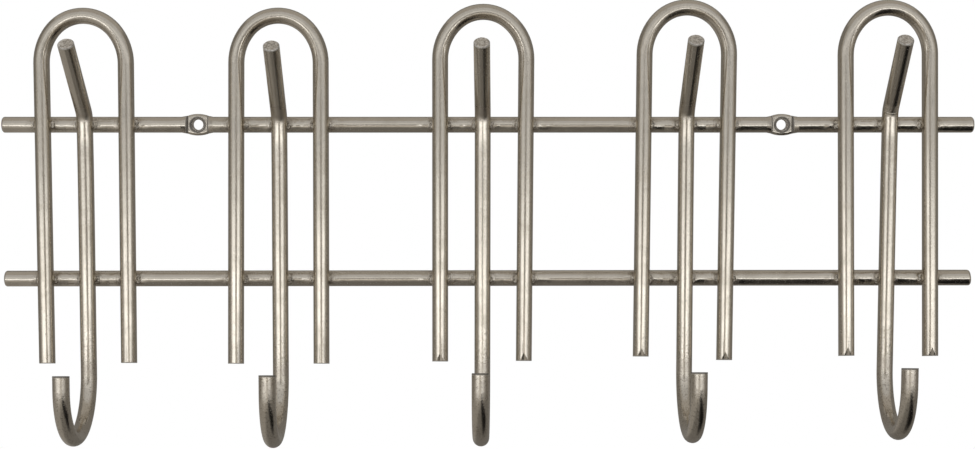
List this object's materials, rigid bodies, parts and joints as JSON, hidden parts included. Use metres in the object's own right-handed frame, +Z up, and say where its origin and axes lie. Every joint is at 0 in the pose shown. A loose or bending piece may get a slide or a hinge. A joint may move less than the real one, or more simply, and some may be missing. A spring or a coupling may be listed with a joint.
{
  "type": "wall coat rack",
  "caption": "Wall coat rack of welded round wire: cross bars carry hairpin loops, each with a prong above and a coat hook below, fixed by screw eyes pressed into the top bar.",
  "frame": {"origin": "on the wall plane, midway between the two screw holes in the top bar", "axes": "+X to the right along the bars, +Y into the wall, +Z up"},
  "size_m": [0.373, 0.0526, 0.1673],
  "materials": {
    "satin_nickel_wire": "satin",
    "weld_metal": "rough"
  },
  "bodies": {
    "root": {"top_bar": "satin_nickel_wire", "bottom_bar": "satin_nickel_wire", "loop_1": "satin_nickel_wire", "loop_2": "satin_nickel_wire", "loop_3": "satin_nickel_wire", "loop_4": "satin_nickel_wire", "loop_5": "satin_nickel_wire", "hook_1": "satin_nickel_wire", "hook_2": "satin_nickel_wire", "hook_3": "satin_nickel_wire", "hook_4": "satin_nickel_wire", "hook_5": "satin_nickel_wire", "top_bar_welds": "weld_metal", "bottom_bar_welds": "weld_metal"}
  },
  "joints": []
}
